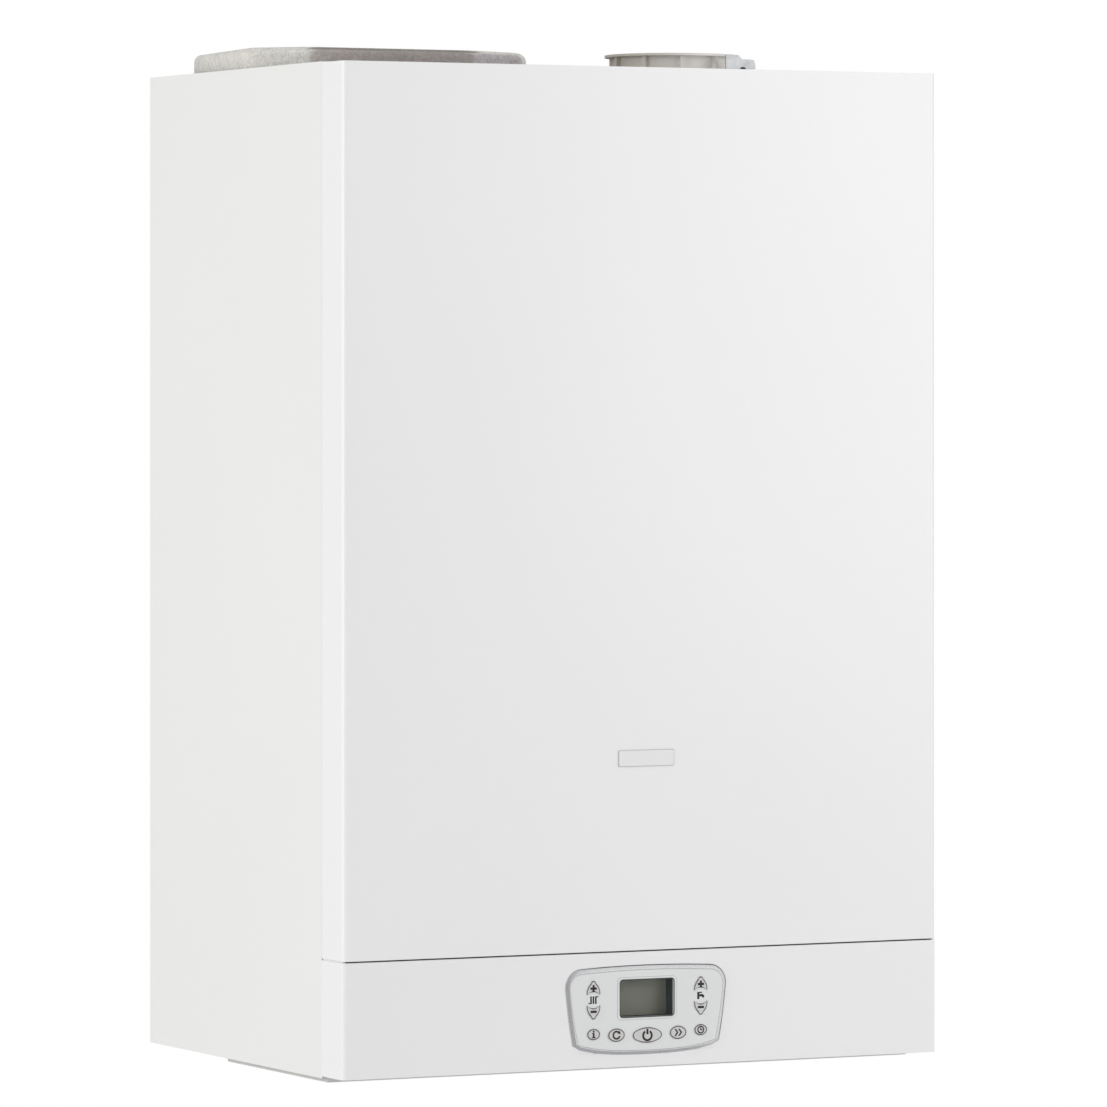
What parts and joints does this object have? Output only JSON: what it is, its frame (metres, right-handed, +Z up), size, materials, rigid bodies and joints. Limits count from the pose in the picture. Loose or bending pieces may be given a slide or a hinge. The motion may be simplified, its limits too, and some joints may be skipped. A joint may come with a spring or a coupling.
{
  "type": "condensing gas boiler",
  "caption": "Wall-hung condensing gas boiler with a white pull-off cover, tilting control panel with keys and display, foam-cased hot-water tank and ribbed flue collar.",
  "frame": {"origin": "midpoint between the two hanging slots, on the wall plane", "axes": "+X to the right as seen from the front, +Y into the wall, +Z up"},
  "size_m": [0.601, 0.433, 0.9335],
  "materials": {
    "casing_white": "satin powder coat",
    "panel_white": "fine texture",
    "tray_grey": "fine texture",
    "galvanised": "galvanised sheet",
    "spring_steel": "bright",
    "bezel_silver": "satin silver paint",
    "keypad_grey": "satin",
    "key_grey": "satin silicone",
    "lcd_glass": "clear window over a grey-green display",
    "lcd_frame": "moulded",
    "board_green": "solder resist",
    "foam_grey": "moulded bead foam",
    "collar_grey": "moulded",
    "flue_white": "moulded",
    "black_plastic": "moulded",
    "cast_aluminium": "sand cast",
    "fan_plastic": "glass-filled nylon",
    "stainless": "plain",
    "ceramic_white": "fired",
    "brass": "turned",
    "copper": "drawn copper tube",
    "group_plastic": "glass-filled nylon",
    "pump_red": "enamelled",
    "vessel_red": "enamelled",
    "trap_grey": "moulded",
    "knob_red": "moulded",
    "knob_blue": "moulded"
  },
  "bodies": {
    "casing": {"left_side_panel": "casing_white", "right_side_panel": "casing_white", "rear_frame": "galvanised", "top_panel": "galvanised", "lower_crossbar": "galvanised", "connection_bracket": "galvanised", "flue_bracket": "galvanised", "cover_clips": "spring_steel", "hinge_pins": "spring_steel", "insulation_cap": "foam_grey", "insulation_front": "foam_grey", "insulation_rear": "foam_grey", "flue_collar": "collar_grey", "flue_pipe": "flue_white", "cable_gland": "black_plastic", "fan_motor": "black_plastic", "diverter_motor": "black_plastic", "gas_mixer": "black_plastic", "heat_exchanger": "cast_aluminium", "burner_door": "cast_aluminium", "fan_housing": "cast_aluminium", "gas_valve": "cast_aluminium", "burner_tube": "stainless", "storage_tank": "stainless", "tank_coil": "stainless", "ignition_electrode": "ceramic_white", "connection_nipples": "brass", "filling_tap": "brass", "gas_pipe": "copper", "exchanger_pipes": "copper", "tank_pipes": "copper", "flow_group": "group_plastic", "return_group": "group_plastic", "circulation_pump": "pump_red", "expansion_vessel": "vessel_red", "condensate_trap": "trap_grey", "condensate_pipes": "trap_grey"},
    "front_cover": {"front_cover": "casing_white", "cover_studs": "spring_steel"},
    "control_panel": {"fascia": "panel_white", "bezel_ring": "bezel_silver", "keypad_plate": "keypad_grey", "lcd_window": "lcd_glass", "lcd_module": "lcd_frame", "display_board": "board_green", "control_tray": "tray_grey", "electrics_lid": "tray_grey", "main_board": "board_green"},
    "fan_impeller": {"fan_impeller": "fan_plastic"},
    "relief_knob": {"relief_knob": "knob_red"},
    "filling_knob": {"filling_knob": "knob_blue"},
    "heating_plus_key": {"heating_plus_key": "key_grey"},
    "heating_minus_key": {"heating_minus_key": "key_grey"},
    "water_plus_key": {"water_plus_key": "key_grey"},
    "water_minus_key": {"water_minus_key": "key_grey"},
    "info_key": {"info_key": "key_grey"},
    "reset_key": {"reset_key": "key_grey"},
    "power_key": {"power_key": "key_grey"},
    "boost_key": {"boost_key": "key_grey"},
    "timer_key": {"timer_key": "key_grey"}
  },
  "joints": [
    {"name": "cover_pull", "type": "slide", "parent": "casing", "child": "front_cover", "axis": [0, -1, 0], "range_m": [0, 0.3]},
    {"name": "panel_tilt", "type": "hinge", "parent": "casing", "child": "control_panel", "pos_m": [0, -0.158, -0.846], "axis": [1, 0, 0], "range_deg": [0, 80]},
    {"name": "heating_plus_press", "type": "slide", "parent": "control_panel", "child": "heating_plus_key", "axis": [0, 1, 0], "range_m": [0, 0.001], "stiffness_N_per_m": 800, "springref_m": -0.0005},
    {"name": "heating_minus_press", "type": "slide", "parent": "control_panel", "child": "heating_minus_key", "axis": [0, 1, 0], "range_m": [0, 0.001], "stiffness_N_per_m": 800, "springref_m": -0.0005},
    {"name": "water_plus_press", "type": "slide", "parent": "control_panel", "child": "water_plus_key", "axis": [0, 1, 0], "range_m": [0, 0.001], "stiffness_N_per_m": 800, "springref_m": -0.0005},
    {"name": "water_minus_press", "type": "slide", "parent": "control_panel", "child": "water_minus_key", "axis": [0, 1, 0], "range_m": [0, 0.001], "stiffness_N_per_m": 800, "springref_m": -0.0005},
    {"name": "info_press", "type": "slide", "parent": "control_panel", "child": "info_key", "axis": [0, 1, 0], "range_m": [0, 0.001], "stiffness_N_per_m": 800, "springref_m": -0.0005},
    {"name": "reset_press", "type": "slide", "parent": "control_panel", "child": "reset_key", "axis": [0, 1, 0], "range_m": [0, 0.001], "stiffness_N_per_m": 800, "springref_m": -0.0005},
    {"name": "power_press", "type": "slide", "parent": "control_panel", "child": "power_key", "axis": [0, 1, 0], "range_m": [0, 0.001], "stiffness_N_per_m": 800, "springref_m": -0.0005},
    {"name": "boost_press", "type": "slide", "parent": "control_panel", "child": "boost_key", "axis": [0, 1, 0], "range_m": [0, 0.001], "stiffness_N_per_m": 800, "springref_m": -0.0005},
    {"name": "timer_press", "type": "slide", "parent": "control_panel", "child": "timer_key", "axis": [0, 1, 0], "range_m": [0, 0.001], "stiffness_N_per_m": 800, "springref_m": -0.0005},
    {"name": "fan_spin", "type": "hinge", "parent": "casing", "child": "fan_impeller", "pos_m": [0.1, -0.345, -0.372], "axis": [0, 1, 0], "continuous": true},
    {"name": "relief_turn", "type": "hinge", "parent": "casing", "child": "relief_knob", "pos_m": [0.264, -0.158, -0.64], "axis": [0, 1, 0], "range_deg": [0, 90]},
    {"name": "filling_turn", "type": "hinge", "parent": "casing", "child": "filling_knob", "pos_m": [-0.005, -0.13, -0.819], "axis": [0, 0, 1], "range_deg": [0, 180]}
  ]
}
